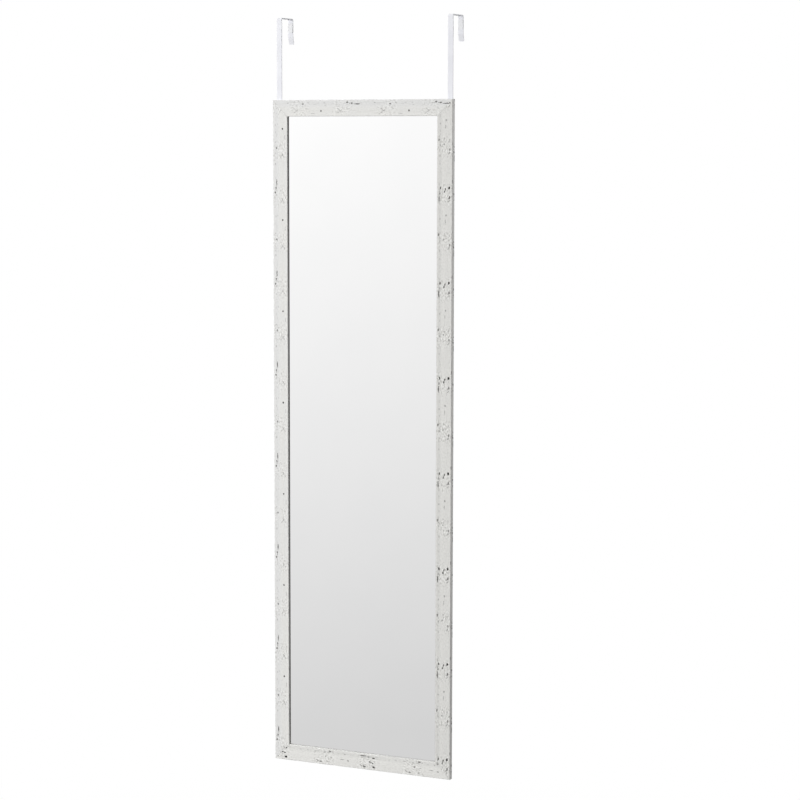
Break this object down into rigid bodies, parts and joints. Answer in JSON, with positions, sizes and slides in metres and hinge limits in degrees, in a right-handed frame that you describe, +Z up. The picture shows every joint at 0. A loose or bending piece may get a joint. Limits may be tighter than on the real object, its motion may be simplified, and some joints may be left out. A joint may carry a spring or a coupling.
{
  "type": "over the door mirror",
  "caption": "Tall framed mirror in a flat mitred moulding with a distressed white finish, hung over a door's top edge by bent steel strap hooks.",
  "frame": {"origin": "on the top front edge of the door, midway between the two hooks", "axes": "+Z up, front (glass) towards -Y, +X to the right for a viewer who looks into the glass; the door fills y 0 to 0.040 below z 0"},
  "size_m": [0.35, 0.0583, 1.3455],
  "materials": {
    "distressed_foil": "satin whitewashed wood-look foil with dark specks and worn grain streaks",
    "mirror": "silvered float glass",
    "hardboard": "bare brown hardboard",
    "strap": "white powder coat",
    "zinc_steel": "zinc plated",
    "blued_steel": "blued spring steel",
    "felt": "white pressed felt",
    "rubber": "translucent pale soft rubber"
  },
  "bodies": {
    "root": {"backing_board": "hardboard", "bottom_rail": "distressed_foil", "bottom_rail_tab_1": "blued_steel", "bottom_rail_tab_2": "blued_steel", "left_bumper": "rubber", "left_front_pad": "felt", "left_hook": "strap", "left_hook_screw_1": "zinc_steel", "left_hook_screw_2": "zinc_steel", "left_rear_pad": "felt", "left_stile": "distressed_foil", "left_stile_tab_1": "blued_steel", "left_stile_tab_2": "blued_steel", "left_stile_tab_3": "blued_steel", "left_stile_tab_4": "blued_steel", "left_stile_tab_5": "blued_steel", "left_stile_tab_6": "blued_steel", "mirror_glass": "mirror", "right_bumper": "rubber", "right_front_pad": "felt", "right_hook": "strap", "right_hook_screw_1": "zinc_steel", "right_hook_screw_2": "zinc_steel", "right_rear_pad": "felt", "right_stile": "distressed_foil", "right_stile_tab_1": "blued_steel", "right_stile_tab_2": "blued_steel", "right_stile_tab_3": "blued_steel", "right_stile_tab_4": "blued_steel", "right_stile_tab_5": "blued_steel", "right_stile_tab_6": "blued_steel", "top_rail": "distressed_foil", "top_rail_tab_1": "blued_steel", "top_rail_tab_2": "blued_steel", "v_nail_bottom_left_1": "blued_steel", "v_nail_bottom_left_2": "blued_steel", "v_nail_bottom_right_1": "blued_steel", "v_nail_bottom_right_2": "blued_steel", "v_nail_top_left_1": "blued_steel", "v_nail_top_left_2": "blued_steel", "v_nail_top_right_1": "blued_steel", "v_nail_top_right_2": "blued_steel"}
  },
  "joints": []
}
